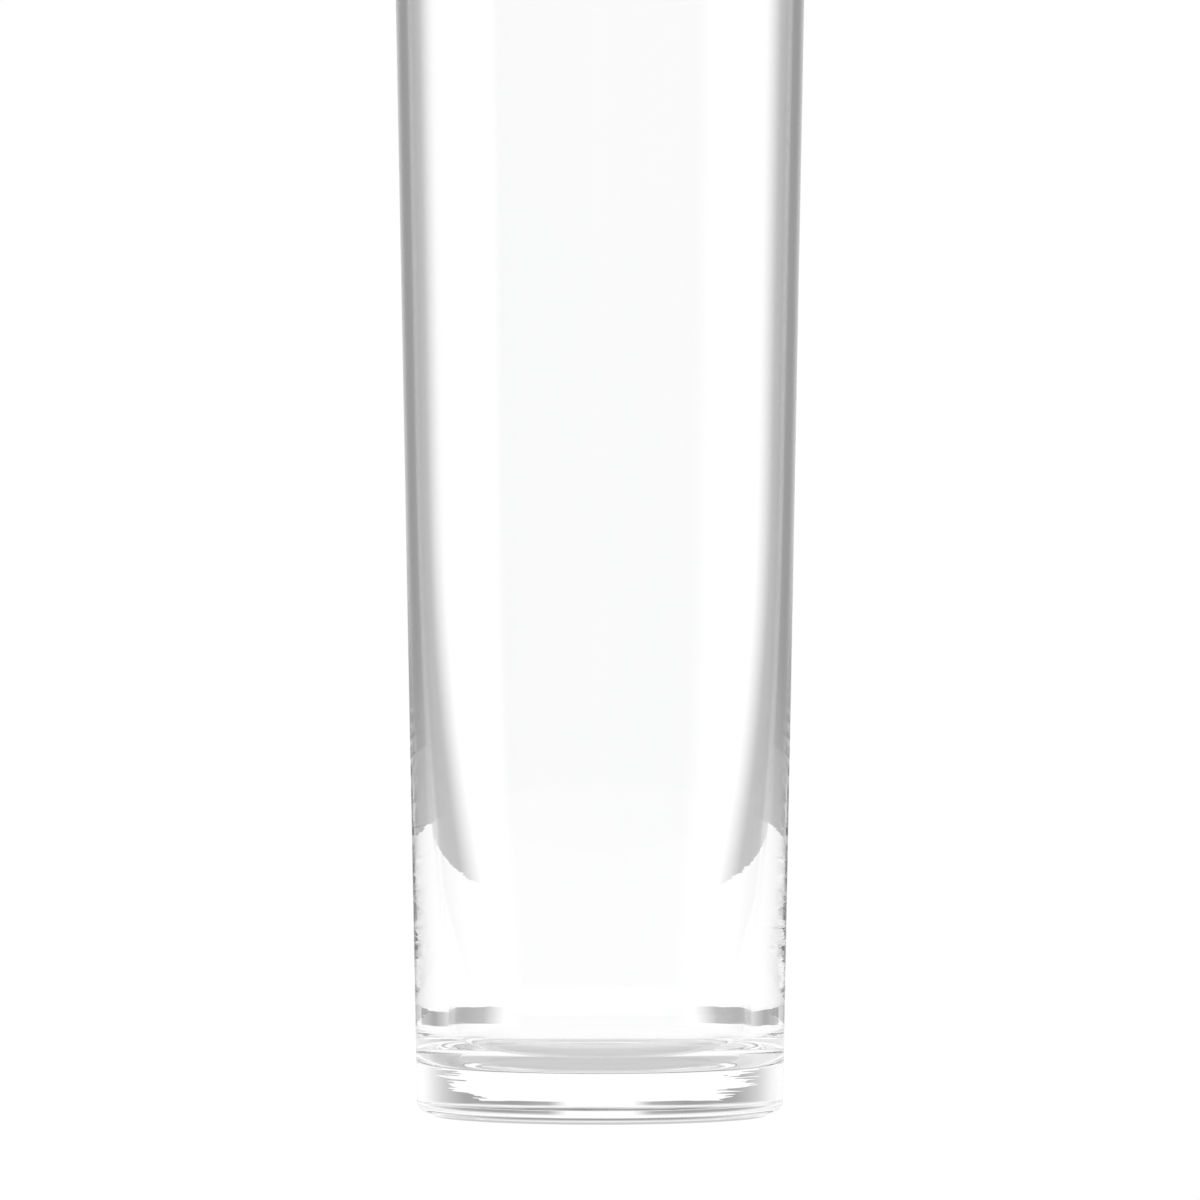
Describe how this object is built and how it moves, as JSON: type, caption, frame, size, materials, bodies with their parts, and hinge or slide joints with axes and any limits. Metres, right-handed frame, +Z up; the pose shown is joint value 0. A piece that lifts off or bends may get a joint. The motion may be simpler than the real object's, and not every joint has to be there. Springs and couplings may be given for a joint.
{
  "type": "mixing glass",
  "caption": "Tall, slender mixing glass of clear glass: a straight, slightly tapered round body with thin walls, a thick solid base and a rounded plain rim.",
  "frame": {"origin": "middle of the flat resting face, on the glass's axis", "axes": "+Z up along the axis the glass is turned about, from the base to the rim; X and Y are alike, because the glass is round"},
  "size_m": [0.0674, 0.0674, 0.19],
  "materials": {
    "clear_glass": "clear colourless glass, smooth and fire-polished, with very faint waviness from forming"
  },
  "bodies": {
    "root": {"mixing_glass": "clear_glass"}
  },
  "joints": []
}
